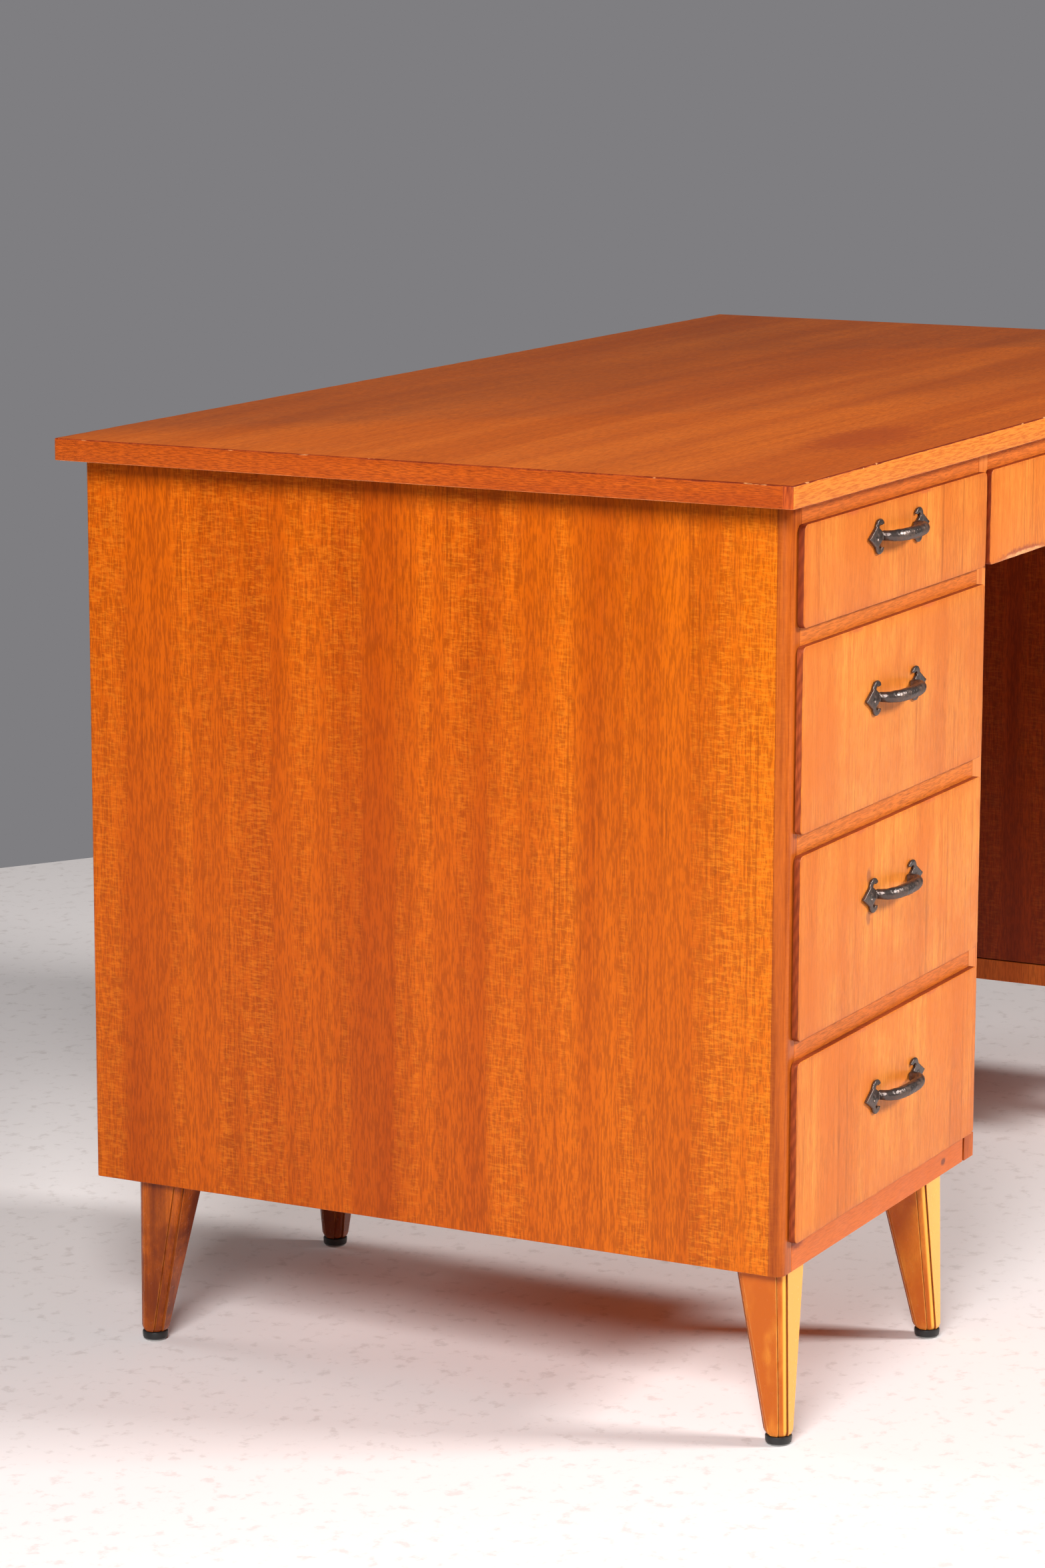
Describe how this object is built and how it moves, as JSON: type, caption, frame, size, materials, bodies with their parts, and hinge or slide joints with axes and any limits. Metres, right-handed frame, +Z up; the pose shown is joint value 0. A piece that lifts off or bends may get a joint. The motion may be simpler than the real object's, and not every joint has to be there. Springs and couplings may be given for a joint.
{
  "type": "writing desk",
  "caption": "Wooden writing desk: a plain top on two pedestals with a stack of lipped drawers, a drawer over the kneehole, a narrow cupboard, iron pulls and tapered legs.",
  "frame": {"origin": "middle of the whole box, on the floor", "axes": "+X along the length, to the right of someone facing the drawers; +Y from the front to the back; +Z up"},
  "size_m": [1.275, 0.6628, 0.76],
  "materials": {
    "top_veneer": "satin varnish over reddish brown veneer, worn at the arrises",
    "side_veneer": "satin varnish over orange brown veneer with upright ribbon figure",
    "front_veneer": "satin varnish over light orange veneer with upright grain",
    "rail_wood": "satin varnish on solid wood",
    "inside_wood": "plain pale wood, waxed",
    "leg_wood": "glossy varnish on honey-coloured beech",
    "cap_plastic": "black plastic foot cap",
    "iron": "dark hammered iron with worn brown highlights",
    "hinge_brass": "aged brass"
  },
  "bodies": {
    "carcass": {"desk_top": "top_veneer", "left_outer_side": "side_veneer", "left_inner_side": "side_veneer", "right_inner_side": "side_veneer", "right_outer_side": "side_veneer", "modesty_panel": "side_veneer", "left_bottom_board": "rail_wood", "left_bottom_rail": "rail_wood", "right_bottom_board": "rail_wood", "left_top_rail": "rail_wood", "kneehole_top_rail": "rail_wood", "right_top_rail": "rail_wood", "left_runner_frame_1": "rail_wood", "left_runner_frame_2": "rail_wood", "left_runner_frame_3": "rail_wood", "centre_runner_left": "rail_wood", "centre_runner_right": "rail_wood", "left_back_panel": "inside_wood", "right_back_panel": "inside_wood", "cupboard_shelf": "inside_wood", "door_hinge_lower": "hinge_brass", "door_hinge_upper": "hinge_brass", "left_front_outer_leg": "leg_wood", "left_front_outer_leg_cap": "cap_plastic", "left_front_inner_leg": "leg_wood", "left_front_inner_leg_cap": "cap_plastic", "left_back_outer_leg": "leg_wood", "left_back_outer_leg_cap": "cap_plastic", "left_back_inner_leg": "leg_wood", "left_back_inner_leg_cap": "cap_plastic", "right_front_outer_leg": "leg_wood", "right_front_outer_leg_cap": "cap_plastic", "right_front_inner_leg": "leg_wood", "right_front_inner_leg_cap": "cap_plastic", "right_back_outer_leg": "leg_wood", "right_back_outer_leg_cap": "cap_plastic", "right_back_inner_leg": "leg_wood", "right_back_inner_leg_cap": "cap_plastic"},
    "drawer_1": {"drawer_1_front": "front_veneer", "drawer_1_box": "inside_wood", "drawer_1_bottom": "inside_wood", "drawer_1_handle": "iron"},
    "drawer_2": {"drawer_2_front": "front_veneer", "drawer_2_box": "inside_wood", "drawer_2_bottom": "inside_wood", "drawer_2_handle": "iron"},
    "drawer_3": {"drawer_3_front": "front_veneer", "drawer_3_box": "inside_wood", "drawer_3_bottom": "inside_wood", "drawer_3_handle": "iron"},
    "drawer_4": {"drawer_4_front": "front_veneer", "drawer_4_box": "inside_wood", "drawer_4_bottom": "inside_wood", "drawer_4_handle": "iron"},
    "centre_drawer": {"centre_drawer_front": "front_veneer", "centre_drawer_box": "inside_wood", "centre_drawer_bottom": "inside_wood", "centre_drawer_handle": "iron"},
    "cupboard_door": {"cupboard_door": "front_veneer", "door_handle": "iron"}
  },
  "joints": [
    {"name": "drawer_1_slide", "type": "slide", "parent": "carcass", "child": "drawer_1", "axis": [0, -1, 0], "range_m": [0, 0.4]},
    {"name": "drawer_2_slide", "type": "slide", "parent": "carcass", "child": "drawer_2", "axis": [0, -1, 0], "range_m": [0, 0.4]},
    {"name": "drawer_3_slide", "type": "slide", "parent": "carcass", "child": "drawer_3", "axis": [0, -1, 0], "range_m": [0, 0.4]},
    {"name": "drawer_4_slide", "type": "slide", "parent": "carcass", "child": "drawer_4", "axis": [0, -1, 0], "range_m": [0, 0.4]},
    {"name": "centre_drawer_slide", "type": "slide", "parent": "carcass", "child": "centre_drawer", "axis": [0, -1, 0], "range_m": [0, 0.38]},
    {"name": "door_swing", "type": "hinge", "parent": "carcass", "child": "cupboard_door", "pos_m": [0.6005, -0.30812, 0.44], "axis": [0, 0, 1], "range_deg": [0, 105]}
  ]
}
